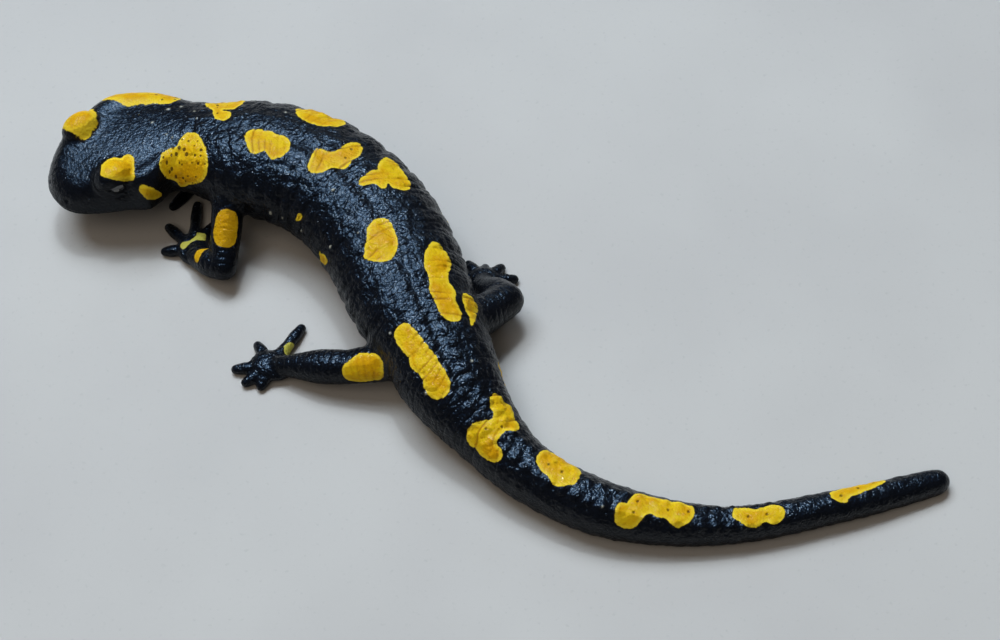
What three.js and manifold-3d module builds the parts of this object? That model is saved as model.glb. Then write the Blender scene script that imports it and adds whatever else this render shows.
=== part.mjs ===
// Fire salamander, life size, walking with its head turned to its left and its tail trailing
// in a curve. Millimetres, +Z up. The animal stands on its four feet and the rear of its tail.
// The spine is one curve from snout to tail tip. Every length of the body is a loft of
// sections along it, and each limb is set on the body by its distance from the snout.
import * as THREE from 'three';
import { LoftGeometry } from 'three/addons/geometries/LoftGeometry.js';
import { mergeVertices } from 'three/addons/utils/BufferGeometryUtils.js';
import Module from 'manifold-3d';

const wasm = await Module();
wasm.setup();

const { PI, abs, cos, exp, max, min, pow, sign, sin, sqrt } = Math;

// ---------------------------------------------------------------- driving dimensions

const GAP = 0.3; // clear space between neighbouring pieces
const FLOOR = 0;

// Middle of the body, from the snout to the tip of the tail.
const SPINE = [
  [-74.7, 18.4, 8.2], // snout
  [-67.0, 24.5, 9.8], // eyes
  [-61.1, 27.4, 10.4], // corners of the jaw
  [-55.2, 28.4, 10.8], // nape
  [-43.8, 26.2, 11.0], // shoulders
  [-37.0, 24.6, 10.8],
  [-30.5, 21.8, 10.6],
  [-25.2, 17.6, 10.2],
  [-20.4, 11.4, 9.9],
  [-17.0, 4.8, 9.6],
  [-14.8, -0.8, 9.4],
  [-10.4, -10.6, 9.0], // hips
  [-7.9, -16.3, 8.3],
  [-4.2, -22.0, 7.0], // vent, root of the tail
  [3.5, -30.7, 5.2],
  [15.9, -37.5, 4.3],
  [33.8, -39.8, 3.0],
  [52.0, -36.4, 2.6],
  [70.7, -30.9, 1.6], // tip of the tail
];

// Distance from the snout, half width, height above and depth below the spine curve.
const PROFILE = [
  [0, 7.0, 3.6, 2.3],
  [4, 7.5, 4.2, 2.7],
  [10, 9.9, 4.8, 3.9],
  [14, 11.3, 5.0, 4.6],
  [18, 10.5, 5.2, 5.0],
  [22, 8.8, 5.4, 5.4],
  [27, 8.4, 6.0, 6.1],
  [34, 10.1, 7.2, 7.4],
  [42, 10.8, 7.7, 8.0],
  [60, 10.9, 7.6, 7.8],
  [76, 10.4, 7.1, 7.3],
  [86, 9.0, 6.6, 6.8],
  [94, 8.2, 6.1, 6.2],
  [101, 6.5, 5.4, 5.6],
  [107, 5.3, 4.8, 5.5],
  [116, 4.5, 4.5, 5.2],
  [126, 4.3, 4.2, 4.7],
  [136, 3.6, 3.6, 4.0],
  [146, 2.9, 3.0, 3.3],
  [158, 2.65, 2.75, 3.0],
  [175, 2.3, 2.35, 2.5],
  [186, 1.7, 1.8, 2.0],
];

const SNOUT_ROUND_WIDE = 7.5; // length over which the snout rounds off, seen from above
const SNOUT_ROUND_HIGH = 4.5; // and seen from the side
const TAIL_ROUND = 2.4;
const HEAD_SQUARE = 2.5; // exponent of the head's sections, 2 is an ellipse
const BODY_SQUARE = 2.15;
const HEAD_TAPER = 0.16; // how much narrower the top of the head is than the jaw

// Where one length of the body ends and the next begins, from the snout.
const HEAD_END = 25;
const NECK_END = 30;
const TORSO_FRONT_END = 52;
const TORSO_MIDDLE_END = 68;
const TORSO_END = 96;
const TAIL_ROOT_END = 118;
const TAIL_MIDDLE_END = 142;
const TAIL_REAR_END = 165;

const MOUTH = { corner: 17.5, depth: 0.5, halfWidth: 0.32 };
const MOUTH_DROP = [[0, 0], [6, 0.8], [12, 1.2], [16, 1.7], [20, 2.2]]; // below the spine curve
const LIP = { height: 0.14, above: 0.8, halfWidth: 0.6 }; // the upper lip, over the mouth's line

// Forms of the skin. An angle is measured from the middle of the back, and both sides are alike.
const GROOVES = { first: 38, step: 4, count: 12, depth: 0.34, halfWidth: 0.85 };
const GROOVE_TOP = [0.4, 1.25]; // angles between which the costal grooves deepen down the flank
const GROOVE_FOOT = [2.1, 2.8]; // and fade out under the belly
const GROOVES_END = [82, 86];
const SPINE_GROOVE = { depth: 0.35, halfWidth: 1.3, start: [28, 36], end: [90, 104] };
const TAIL_RING = { step: 3, height: 0.1, onset: 8 };
const PAROTOID = { at: 18.2, angle: 1.08, halfLength: 4.6, halfWidth: 4.0, height: 1.15 };
const JAW_MUSCLE = { at: 12.6, angle: 1.0, halfLength: 4.6, halfWidth: 4.0, height: 0.75 };
const BROW = { at: 9.9, angle: 0.72, halfLength: 4.6, halfWidth: 3.3, height: 1.2 };
const VENT = { at: 98.5, angle: PI, halfLength: 4.2, halfWidth: 2.9, height: 0.8 };
const THROAT_FOLD = { at: 23.2, halfWidth: 0.55, depth: 0.55, side: [1.7, 2.2] };

const EYE = { at: 10.1, side: 6.4, above: 4.0, radius: 2.2, yaw: 0.1 };
const LID = { thickness: 0.5, stretch: 1.2, inward: 0.3 };
const LID_SLIT = { halfLength: 2.1, halfHeight: 1.05, out: 2.1, down: 0.35, ahead: 0.5 };
const NOSTRIL = { at: 1.1, side: 2.7, above: 2.0, radius: 0.38 };

// Limbs, with the joints as points and the radii at root, middle and end of each segment.
const LIMBS = [
  {
    side: 'left', fore: true,
    root: [-45.3, 19.0, 10.4], bend: [-46.2, 7.7, 4.4], end: [-50.7, 10.5, 2.7], palm: [-52.0, 13.3, 1.5],
    radii: [3.0, 2.65, 2.3, 2.45, 1.8],
    digits: [[-56.9, 13.3], [-56.7, 18.3], [-52.2, 23.0], [-48.9, 18.9]],
  },
  {
    side: 'right', fore: true,
    root: [-44.6, 32.6, 10.0], bend: [-40.9, 38.0, 4.6], end: [-47.4, 32.4, 2.4], palm: [-50.6, 29.6, 1.5],
    radii: [3.0, 2.7, 2.3, 2.35, 1.75],
    digits: [[-55.4, 33.6], [-58.2, 30.4], [-58.6, 26.4], [-56.4, 22.8]],
  },
  {
    side: 'left', fore: false,
    root: [-12.0, -11.9, 8.2], bend: [-24.2, -12.4, 5.2], end: [-33.8, -10.8, 2.9], palm: [-37.2, -9.9, 1.6],
    radii: [3.9, 3.4, 2.8, 2.85, 1.95],
    digits: [[-32.9, -2.2], [-39.9, -5.6], [-43.2, -10.2], [-41.4, -12.7], [-38.9, -13.4]],
  },
  {
    side: 'right', fore: false,
    root: [-8.2, -8.4, 8.4], bend: [1.0, 0.0, 5.9], end: [-2.9, 4.6, 2.9], palm: [-2.7, 6.8, 1.5],
    radii: [3.9, 3.5, 3.0, 2.9, 1.95],
    digits: [[-7.4, 8.2], [-5.3, 10.6], [-2.5, 9.9], [0.2, 9.9], [2.4, 7.6]],
  },
];
const PALM = { halfWidth: 2.8, halfHeight: 1.5 };
const DIGIT = { start: 0.28, root: 1.25, middle: 1.06, tip: 0.9, rootHeight: 1.44, height: 0.85 };

// How finely the solids are divided.
const HEAD_CORNERS = { above: 10, below: 6 }; // of half a section, over and under the mouth
const SNOUT = { roundedTo: 3.2, rows: 6 };
const ROW = { head: 1.3, neck: 1.6, trunk: 1.8 };
const CORNERS = {
  trunk: 30, tailRoot: 24, tailMiddle: 20, tailRear: 18, tailTip: 16, limb: 14, digit: 8,
};
const LIMB_ROWS = 11;
const DIGIT_ROWS = 6;
const BALL_SEGMENTS = 16;

const SKIN_COLOUR = 0x11141b;
const EYE_COLOUR = 0x050505;

// ---------------------------------------------------------------- curves and sections

const spine = new THREE.CatmullRomCurve3(SPINE.map((p) => new THREE.Vector3(...p)));
spine.arcLengthDivisions = 800;
const LENGTH = spine.getLength();
const UP = new THREE.Vector3(0, 0, 1);

// Smooth value through a table of [distance, values...] rows, as a cubic with finite slopes.
function along(table, column, s) {
  const last = table.length - 1;
  if (s <= table[0][0]) return table[0][column];
  if (s >= table[last][0]) return table[last][column];
  const i = table.findIndex((row) => row[0] > s) - 1;
  const slope = (k) => {
    const a = table[max(k - 1, 0)];
    const b = table[min(k + 1, last)];
    return (b[column] - a[column]) / (b[0] - a[0]);
  };
  const h = table[i + 1][0] - table[i][0];
  const t = (s - table[i][0]) / h;
  const keep = (1 + 2 * t) * (1 - t) * (1 - t) * table[i][column];
  const next = t * t * (3 - 2 * t) * table[i + 1][column];
  return keep + next + h * (t * (1 - t) * (1 - t) * slope(i) - t * t * (1 - t) * slope(i + 1));
}

// Share of the full section left at a distance from an end that rounds off over a length.
function roundOff(distance, length) {
  const t = min(max(distance, 0) / length, 1);
  return sqrt(1 - (1 - t) * (1 - t));
}

const smooth = (a, b, x) => THREE.MathUtils.smoothstep(x, a, b);
const bell = (x, halfWidth) => exp(-pow(x / halfWidth, 2));
const plateau = (x, halfWidth) => exp(-pow(x / halfWidth, 4));
const power = (x, e) => sign(x) * pow(abs(x), e);

// Origin, left and up directions of the section at a distance from the snout.
function frameAt(s) {
  const u = min(max(s / LENGTH, 0), 1);
  const back = spine.getTangentAt(u);
  const left = back.clone().cross(UP).normalize();
  return { origin: spine.getPointAt(u), left, up: left.clone().cross(back), back };
}

// Half width, height and depth of the section, and the exponent of its outline.
function sectionAt(s) {
  const tail = roundOff(LENGTH - s, TAIL_ROUND);
  const wide = roundOff(s, SNOUT_ROUND_WIDE) * tail;
  const high = roundOff(s, SNOUT_ROUND_HIGH) * tail;
  const headShare = 1 - smooth(HEAD_END - 8, HEAD_END + 4, s);
  return {
    width: along(PROFILE, 1, s) * wide,
    top: along(PROFILE, 2, s) * high,
    bottom: along(PROFILE, 3, s) * high,
    square: BODY_SQUARE + (HEAD_SQUARE - BODY_SQUARE) * headShare,
    taper: HEAD_TAPER * headShare,
  };
}

// Angle from the middle of the back at which the mouth line crosses a section.
function mouthAngle(s) {
  const { bottom, square } = sectionAt(s);
  const drop = min(along(MOUTH_DROP, 1, s) / max(bottom, 0.1), 0.9);
  return PI / 2 + Math.asin(pow(drop, square / 2));
}

// How far the skin stands out (or in) at a distance from the snout and an angle from the back.
function relief(s, angle) {
  const { width } = sectionAt(s);
  const turn = abs(angle);
  const between = ([a, b], x) => smooth(a, b, x);

  const nearest = Math.round((s - GROOVES.first) / GROOVES.step);
  const fromGroove = s - GROOVES.first - min(max(nearest, 0), GROOVES.count - 1) * GROOVES.step;
  const flank = between(GROOVE_TOP, turn) * (1 - between(GROOVE_FOOT, turn));
  const trunk = smooth(GROOVES.first - GROOVES.step, GROOVES.first, s) * (1 - between(GROOVES_END, s));
  let out = -GROOVES.depth * bell(fromGroove, GROOVES.halfWidth) * flank * trunk;

  const back = between(SPINE_GROOVE.start, s) * (1 - between(SPINE_GROOVE.end, s));
  out -= SPINE_GROOVE.depth * bell(turn * width, SPINE_GROOVE.halfWidth) * back;

  const tail = smooth(TORSO_END, TORSO_END + TAIL_RING.onset, s) * smooth(0, TAIL_RING.onset, LENGTH - s);
  out += TAIL_RING.height * cos((2 * PI * s) / TAIL_RING.step) * tail;

  for (const lump of [PAROTOID, JAW_MUSCLE, BROW, VENT]) {
    const edge = lump === PAROTOID ? plateau : bell;
    const across = (turn - lump.angle) * width;
    out += lump.height * edge(s - lump.at, lump.halfLength) * edge(across, lump.halfWidth);
  }
  const throat = bell(s - THROAT_FOLD.at, THROAT_FOLD.halfWidth) * between(THROAT_FOLD.side, turn);
  out -= THROAT_FOLD.depth * throat;

  const mouth = smooth(0.2, 1.2, s) * (1 - smooth(MOUTH.corner - 1, MOUTH.corner + 0.5, s));
  const fromMouth = (turn - mouthAngle(s)) * width;
  out -= MOUTH.depth * bell(fromMouth, MOUTH.halfWidth) * mouth;
  out += LIP.height * bell(fromMouth + LIP.above, LIP.halfWidth) * mouth;
  return out;
}

// Point of the skin, with the angle from the middle of the back, left side positive.
function bodyPoint(s, angle, grow = 0) {
  const { origin, left, up } = frameAt(s);
  const { width, top, bottom, square, taper } = sectionAt(s);
  const c = power(cos(angle), 2 / square);
  const x = (width + grow) * power(sin(angle), 2 / square) * (1 - taper * max(c, 0));
  const z = ((c > 0 ? top : bottom) + grow) * c;
  const outward = new THREE.Vector2(x / (width * width + 0.01), z / (top * bottom + 0.01)).normalize();
  const out = relief(s, angle) * min(1, width / 3);
  const point = origin.clone()
    .addScaledVector(left, x + outward.x * out)
    .addScaledVector(up, z + outward.y * out);
  point.z = max(point.z, FLOOR);
  return point;
}

// ---------------------------------------------------------------- solids

function toSolid(shape) {
  const bare = new THREE.BufferGeometry();
  bare.setAttribute('position', shape.getAttribute('position')).setIndex(shape.getIndex());
  const merged = mergeVertices(bare, 1e-4);
  return new wasm.Manifold(new wasm.Mesh({
    numProp: 3,
    vertProperties: new Float32Array(merged.attributes.position.array),
    triVerts: new Uint32Array(merged.index.array),
  }));
}

function toMesh(name, solid, material) {
  const largest = solid.decompose().sort((a, b) => b.volume() - a.volume())[0];
  const { vertProperties, triVerts } = largest.getMesh();
  const geometry = new THREE.BufferGeometry();
  geometry.setAttribute('position', new THREE.BufferAttribute(new Float32Array(vertProperties), 3));
  geometry.setIndex(new THREE.BufferAttribute(new Uint32Array(triVerts), 1));
  geometry.computeVertexNormals();
  const mesh = new THREE.Mesh(geometry, material);
  mesh.name = name;
  return mesh;
}

const CLOSED = { closed: true, capStart: true, capEnd: true };
const loft = (sections) => toSolid(new LoftGeometry(sections, CLOSED));

// Angles of a section's corners, from the middle of the back round by the left side.
function evenAngles(count) {
  return Array.from({ length: count }, (_, i) => (2 * PI * i) / count);
}

// On the head three corners of each side stand at the mouth: its two lips and its line.
function headAngles(s) {
  const mouth = mouthAngle(s);
  const lip = (2.4 * MOUTH.halfWidth) / max(sectionAt(s).width, 3);
  const { above, below } = HEAD_CORNERS;
  const upper = Array.from({ length: above }, (_, i) => ((mouth - lip) * i) / (above - 1));
  const chin = PI - mouth - lip;
  const lower = Array.from({ length: below }, (_, i) => PI - chin + (chin * i) / (below - 1));
  const half = [...upper, mouth, ...lower];
  const mirrored = half.slice(1, -1).reverse().map((a) => 2 * PI - a);
  return [...half, ...mirrored];
}

// Relief and sections take angles from -PI to PI.
const wrap = (angle) => (angle > PI ? angle - 2 * PI : angle);

function bodyLoft(stations, anglesAt, grow = 0) {
  return loft(stations.map((s) => anglesAt(s).map((a) => bodyPoint(s, wrap(a), grow))));
}

function evenStations(from, to, step) {
  const count = Math.ceil((to - from) / step);
  return Array.from({ length: count + 1 }, (_, i) => from + ((to - from) * i) / count);
}

// Stations of a length of the trunk: each costal groove has its floor, its two edges and a crest.
function grooveStations(from, to) {
  const stations = [from, to];
  const { first, step, count, halfWidth } = GROOVES;
  for (let k = 0; k < count; k += 1) {
    const s = first + k * step;
    stations.push(s - halfWidth, s, s + halfWidth, s + step / 2);
  }
  stations.push(...evenStations(from, first - step / 2, ROW.trunk));
  stations.push(...evenStations(first + count * step, to, ROW.trunk));
  const inside = stations.filter((s) => s >= from && s <= to).sort((a, b) => a - b);
  return inside.filter((s, i) => i === 0 || s - inside[i - 1] > 0.4);
}

// Stations that crowd towards a rounded end at the origin.
function roundedStations(length, count) {
  return Array.from({ length: count }, (_, i) => length * (1 - cos(((i + 0.35) / count) * (PI / 2))));
}

// A ball or egg, with its axes and the half lengths along them.
function egg(centre, radii, yaw, segments) {
  const geometry = new THREE.SphereGeometry(1, segments, segments / 2);
  geometry.rotateX(PI / 2).scale(...radii).rotateZ(yaw).translate(...centre);
  return toSolid(geometry);
}

// A limb segment or digit: round sections from a to b, both ends rounded over their radius.
function rounded(a, b, radii, sides, rows) {
  const axis = b.clone().sub(a);
  const length = axis.length();
  const forth = axis.normalize();
  const left = forth.clone().cross(UP).normalize();
  const up = left.clone().cross(forth);
  const start = radii[0];
  const end = radii[radii.length - 1];
  const table = radii.map((r, i) => [(length * i) / (radii.length - 1), r]);
  const sections = [];
  for (let i = 0; i <= rows; i += 1) {
    const t = (1 - cos((PI * (i + 0.3)) / (rows + 0.6))) / 2;
    const d = -start + t * (length + start + end);
    const r = along(table, 1, d) * roundOff(d + start, start) * roundOff(length + end - d, end);
    const centre = a.clone().addScaledVector(forth, d);
    sections.push(evenAngles(sides).map((angle) => centre.clone()
      .addScaledVector(left, r * sin(angle))
      .addScaledVector(up, r * cos(angle))));
  }
  return loft(sections);
}

// Keeps what lies on the side of the plane that the normal points to.
const keepSide = (solid, normal, point, inset) => (
  solid.trimByPlane(normal.toArray(), normal.dot(point) + inset)
);

// ---------------------------------------------------------------- body

const skin = () => new THREE.MeshStandardMaterial({ color: SKIN_COLOUR, roughness: 0.3, metalness: 0 });
const wetEye = () => new THREE.MeshStandardMaterial({ color: EYE_COLOUR, roughness: 0.05, metalness: 0 });

const group = new THREE.Group();
const add = (name, solid, material = skin()) => group.add(toMesh(name, solid, material));

function eyeCentre(side) {
  const { origin, left, up } = frameAt(EYE.at);
  return origin.addScaledVector(left, side * EYE.side).addScaledVector(up, EYE.above);
}

// The head, with a lid raised over each eye, the slit between its lids, and the nostrils.
function makeHead() {
  const rear = evenStations(SNOUT.roundedTo, HEAD_END - GAP / 2, ROW.head);
  let head = bodyLoft([...roundedStations(SNOUT.roundedTo, SNOUT.rows), ...rear.slice(1)], headAngles);
  const { left, up, back } = frameAt(EYE.at);
  const nose = frameAt(NOSTRIL.at);
  const ball = (centre, radius, segments) => egg(centre.toArray(), [radius, radius, radius], 0, segments);
  const dome = EYE.radius + GAP + LID.thickness;
  const { halfLength, halfHeight } = LID_SLIT;
  for (const side of [1, -1]) {
    const yaw = Math.atan2(back.y, back.x) - side * EYE.yaw;
    const eye = eyeCentre(side);
    const lid = eye.clone().addScaledVector(left, -side * LID.inward);
    const slit = eye.clone().addScaledVector(left, side * LID_SLIT.out)
      .addScaledVector(up, -LID_SLIT.down)
      .addScaledVector(back, -LID_SLIT.ahead);
    const nostril = nose.origin.clone().addScaledVector(nose.left, side * NOSTRIL.side)
      .addScaledVector(nose.up, NOSTRIL.above);
    head = head.add(egg(lid.toArray(), [dome * LID.stretch, dome, dome], yaw, BALL_SEGMENTS))
      .subtract(ball(eye, EYE.radius + GAP, BALL_SEGMENTS))
      .subtract(egg(slit.toArray(), [halfLength, halfLength, halfHeight], yaw, 12))
      .subtract(ball(nostril, NOSTRIL.radius, 8));
  }
  add('head', head);
}

function makeEyes() {
  for (const [name, side] of [['left', 1], ['right', -1]]) {
    const radii = [EYE.radius, EYE.radius, EYE.radius];
    add(`eye_${name}`, egg(eyeCentre(side).toArray(), radii, 0, BALL_SEGMENTS), wetEye());
  }
}

// A length of the body between two divisions, each set back by half the gap.
function addLength(name, from, to, corners, stations) {
  const inside = stations.filter((s) => s > from + 0.5 && s < to - 0.5);
  add(name, bodyLoft([from + GAP / 2, ...inside, to - GAP / 2], () => evenAngles(corners)));
}

function makeTrunk() {
  const trunk = grooveStations(NECK_END, TORSO_END);
  addLength('neck', HEAD_END, NECK_END, CORNERS.trunk, evenStations(HEAD_END, NECK_END, ROW.neck));
  addLength('torso_front', NECK_END, TORSO_FRONT_END, CORNERS.trunk, trunk);
  addLength('torso_middle', TORSO_FRONT_END, TORSO_MIDDLE_END, CORNERS.trunk, trunk);
  addLength('torso_rear', TORSO_MIDDLE_END, TORSO_END, CORNERS.trunk, trunk);
}

function makeTail() {
  const half = TAIL_RING.step / 2;
  const rings = evenStations(0, half * Math.floor(LENGTH / half), half);
  addLength('tail_root', TORSO_END, TAIL_ROOT_END, CORNERS.tailRoot, rings);
  addLength('tail_middle', TAIL_ROOT_END, TAIL_MIDDLE_END, CORNERS.tailMiddle, rings);
  addLength('tail_rear', TAIL_MIDDLE_END, TAIL_REAR_END, CORNERS.tailRear, rings);
  const tip = roundedStations(TAIL_ROUND, 5).map((d) => LENGTH - d).reverse();
  const before = rings.filter((s) => s > TAIL_REAR_END + 0.5 && s < LENGTH - TAIL_ROUND - 0.5);
  const stations = [TAIL_REAR_END + GAP / 2, ...before, ...tip];
  add('tail_tip', bodyLoft(stations, () => evenAngles(CORNERS.tailTip)));
}

// ---------------------------------------------------------------- limbs

// Palm or sole with its digits, flat on the floor.
function makeSole(limb, wrist, palm) {
  const heading = palm.clone().sub(wrist).setZ(0).normalize();
  const yaw = Math.atan2(heading.y, heading.x);
  const reach = palm.distanceTo(wrist);
  const { halfWidth, halfHeight } = PALM;
  let sole = egg(palm.toArray(), [max(reach, halfWidth), halfWidth, halfHeight], yaw, CORNERS.limb);
  sole = sole.add(rounded(wrist, palm, [limb.radii[4], halfHeight], CORNERS.limb, DIGIT_ROWS));
  for (const [x, y] of limb.digits) {
    const tip = new THREE.Vector3(x, y, DIGIT.height);
    const from = palm.clone().lerp(tip, DIGIT.start).setZ(DIGIT.rootHeight);
    sole = sole.add(rounded(from, tip, [DIGIT.root, DIGIT.middle, DIGIT.tip], CORNERS.digit, DIGIT_ROWS));
  }
  return keepSide(sole, UP, new THREE.Vector3(), FLOOR);
}

function makeLimb(limb, bodyWithGap) {
  const joints = [limb.root, limb.bend, limb.end, limb.palm];
  const [root, bend, end, palm] = joints.map((p) => new THREE.Vector3(...p));
  const [r0, r1, r2, r3, r4] = limb.radii;
  const direction = (from, to) => to.clone().sub(from).normalize();
  const bendCut = direction(root, bend).add(direction(bend, end)).normalize();
  const endCut = direction(bend, end).add(direction(end, palm)).normalize();
  const [upper, lower, sole] = limb.fore ? ['upper_arm', 'forearm', 'hand'] : ['thigh', 'shank', 'foot'];
  const half = GAP / 2;

  let first = rounded(root, bend, [r0, r1, r2], CORNERS.limb, LIMB_ROWS);
  first = keepSide(first, bendCut.clone().negate(), bend, half);
  add(`${limb.side}_${upper}`, first.subtract(bodyWithGap));

  let second = rounded(bend, end, [r2, r3, r4], CORNERS.limb, LIMB_ROWS);
  second = keepSide(keepSide(second, bendCut, bend, half), endCut.clone().negate(), end, half);
  add(`${limb.side}_${lower}`, second.subtract(bodyWithGap));

  const third = keepSide(makeSole(limb, end, palm), endCut, end, half);
  add(`${limb.side}_${sole}`, third.subtract(bodyWithGap));
}

makeHead();
makeEyes();
makeTrunk();
makeTail();
const bodyWithGap = bodyLoft(evenStations(20, 110, 1), () => evenAngles(36), GAP);
LIMBS.forEach((limb) => makeLimb(limb, bodyWithGap));

// The origin is on the floor, under the middle of the animal's bounding box.
const box = new THREE.Box3().setFromObject(group);
const middle = box.getCenter(new THREE.Vector3());
group.position.set(-middle.x, -middle.y, -FLOOR);

export default group;
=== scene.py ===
"""Looks of the fire salamander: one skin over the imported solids, its eyes, a pale floor, light and camera.

The forms are worked out in millimetres in the pose's own frame, the one in which the spine's points
are given, and are moved to the part's frame, in metres, when they become meshes.
"""
import math
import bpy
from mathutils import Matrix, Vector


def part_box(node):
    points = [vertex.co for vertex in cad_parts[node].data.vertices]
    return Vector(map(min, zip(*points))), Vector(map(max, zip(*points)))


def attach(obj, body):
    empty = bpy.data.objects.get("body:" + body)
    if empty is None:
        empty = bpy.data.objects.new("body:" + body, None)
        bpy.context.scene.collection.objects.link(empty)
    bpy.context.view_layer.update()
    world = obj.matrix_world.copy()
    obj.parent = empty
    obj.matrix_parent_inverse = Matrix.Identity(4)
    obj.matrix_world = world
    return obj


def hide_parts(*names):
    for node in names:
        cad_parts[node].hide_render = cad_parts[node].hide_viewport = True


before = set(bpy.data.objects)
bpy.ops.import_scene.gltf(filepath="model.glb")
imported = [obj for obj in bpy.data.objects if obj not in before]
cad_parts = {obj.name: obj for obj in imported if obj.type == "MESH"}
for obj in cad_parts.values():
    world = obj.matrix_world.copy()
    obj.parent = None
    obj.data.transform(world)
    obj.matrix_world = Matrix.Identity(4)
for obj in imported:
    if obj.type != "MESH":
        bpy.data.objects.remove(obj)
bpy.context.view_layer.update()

from types import SimpleNamespace as Sizes

import bpy
import numpy as np
from mathutils import Vector
from numpy.linalg import norm

MM = 0.001
TAU = 2 * math.pi

# ---- driving dimensions, as in the solids

# Middle of the body, from the snout to the tip of the tail.
SPINE = [
    (-74.7, 18.4, 8.2),  # snout
    (-67, 24.5, 9.8),  # eyes
    (-61.1, 27.4, 10.4),  # corners of the jaw
    (-55.2, 28.4, 10.8),  # nape
    (-43.8, 26.2, 11),  # shoulders
    (-37, 24.6, 10.8),
    (-30.5, 21.8, 10.6),
    (-25.2, 17.6, 10.2),
    (-20.4, 11.4, 9.9),
    (-17, 4.8, 9.6),
    (-14.8, -0.8, 9.4),
    (-10.4, -10.6, 9),  # hips
    (-7.9, -16.3, 8.3),
    (-4.2, -22, 7),  # vent, root of the tail
    (3.5, -30.7, 5.2),
    (15.9, -37.5, 4.3),
    (33.8, -39.8, 3),
    (52, -36.4, 2.6),
    (70.7, -30.9, 1.6),  # tip of the tail
]

# Distance from the snout, half width, height above and depth below the spine curve.
PROFILE = np.array([
    (0, 7, 3.6, 2.3),
    (4, 7.5, 4.2, 2.7),
    (10, 9.9, 4.8, 3.9),
    (14, 11.3, 5, 4.6),
    (18, 10.5, 5.2, 5),
    (22, 8.8, 5.4, 5.4),
    (27, 8.4, 6, 6.1),
    (34, 10.1, 7.2, 7.4),
    (42, 10.8, 7.7, 8),
    (60, 10.9, 7.6, 7.8),
    (76, 10.4, 7.1, 7.3),
    (86, 9, 6.6, 6.8),
    (94, 8.2, 6.1, 6.2),
    (101, 6.5, 5.4, 5.6),
    (107, 5.3, 4.8, 5.5),
    (116, 4.5, 4.5, 5.2),
    (126, 4.3, 4.2, 4.7),
    (136, 3.6, 3.6, 4),
    (146, 2.9, 3, 3.3),
    (158, 2.65, 2.75, 3),
    (175, 2.3, 2.35, 2.5),
    (186, 1.7, 1.8, 2),
])
SNOUT_ROUND_WIDE = 7.5
SNOUT_ROUND_HIGH = 4.5
TAIL_ROUND = 2.4
HEAD_SQUARE = 2.5
BODY_SQUARE = 2.15
HEAD_TAPER = 0.16
HEAD_END = 25
TRUNK_END = 96
FULL_RELIEF = 3.0  # half width under which the relief gets lower

# Broad forms of the body, each as (distance from the snout, angle from the middle of the back, half length,
# half width, height).
PAROTOID = (18.2, 1.08, 4.6, 4, 1.15)
JAW_MUSCLE = (12.6, 1, 4.6, 4, 0.75)
BROW = (9.9, 0.72, 4.6, 3.3, 1.2)
VENT = (98.5, math.pi, 4.2, 2.9, 0.8)
SPINE_GROOVE = Sizes(depth=0.35, half_width=1.3, start=(28, 36), end=(90, 104))

# Fine forms. A pair of numbers is where something begins to change and where the change ends.
MOUTH = Sizes(ends=(16.5, 18), depth=0.5, half_width=0.24, core_depth=2, core=(0.8, 2))
MOUTH_DROP = np.array([(0, 0), (6, 0.8), (12, 1.2), (16, 1.7), (20, 2.2)])
LIP = Sizes(height=0.16, above=0.7, half_width=0.5)
GROOVES = Sizes(
    first=38, step=4, count=12, end=(82, 86), top=(0.4, 1.25), foot=(2.1, 2.8),
    depth=0.30, half_width=0.6, bulge=0.08, bulge_half_width=1.2, sway=0.6,
)
TAIL_RING = Sizes(step=3, height=0.04, onset=8, sway=0.3)
THROAT_FOLD = Sizes(at=23.2, half_width=0.45, depth=0.5, side=(1.5, 2.1))
NAPE_CREASE = Sizes(at=26.6, half_width=0.6, depth=0.12, slant=3.6, side=(0.9, 1.5), foot=1.4)
WRINKLE = Sizes(
    spacing=1.35, half_width=0.15, depth=0.11, length=3.2, start=(28, 34), end=(104, 116),
    slant=0.3, slant_to=12, long_sway=0.7, short_sway=0.3,
)
LIMB_WRINKLE = Sizes(spacing=1.15, half_width=0.2, depth=0.08, sway=0.5, above_floor=(1, 2.2))
PEBBLE = Sizes(size=1.9, height=0.18, less_on_head=0.85, less_on_tail=0.45, tail=(104, 130))
GRANULE = Sizes(size=0.95, height=0.09, less_on_head=0.35, on_limbs=0.5, above_floor=(0.6, 1.6))
GRANULE_EDGE = 0.85  # where a granule's slope ends, as a share of its size
GLAND_ROW = Sizes(
    side=1.7, step=2.15, lead=0.4, half_width=0.65, start=(29, 34), end=(150, 160),
    height=0.14, more_behind=0.16, behind=(66, 92),
)
OPENING = Sizes(depth=0.10, slope=(0.12, 0.3))
GRAIN = Sizes(height=0.12, slope=(-0.12, 0.1))

EYE = Sizes(at=10.1, side=6.4, above=4, radius=2.2, yaw=0.1)
LID = Sizes(thickness=0.8, stretch=1.2, inward=0.3)
LID_RADIUS = EYE.radius + LID.thickness
LID_OPENING = Sizes(half_length=2.35, half_height=1.3, down=0.25, ahead=0.45, sunk_to=1.8)
LID_EDGE = Sizes(radius=2.5, margin=0.09, margin_at=1.2, margin_half_width=0.2)
LID_SLOPE = Sizes(inside=(0.90, 1.02), edge=(1, 2.1), side=(0.2, 0.8), reach=(3.3, 4.2))
NOSTRIL = Sizes(at=1.1, side=2.7, above=2, radius=0.38, depth=0.4)

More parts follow.
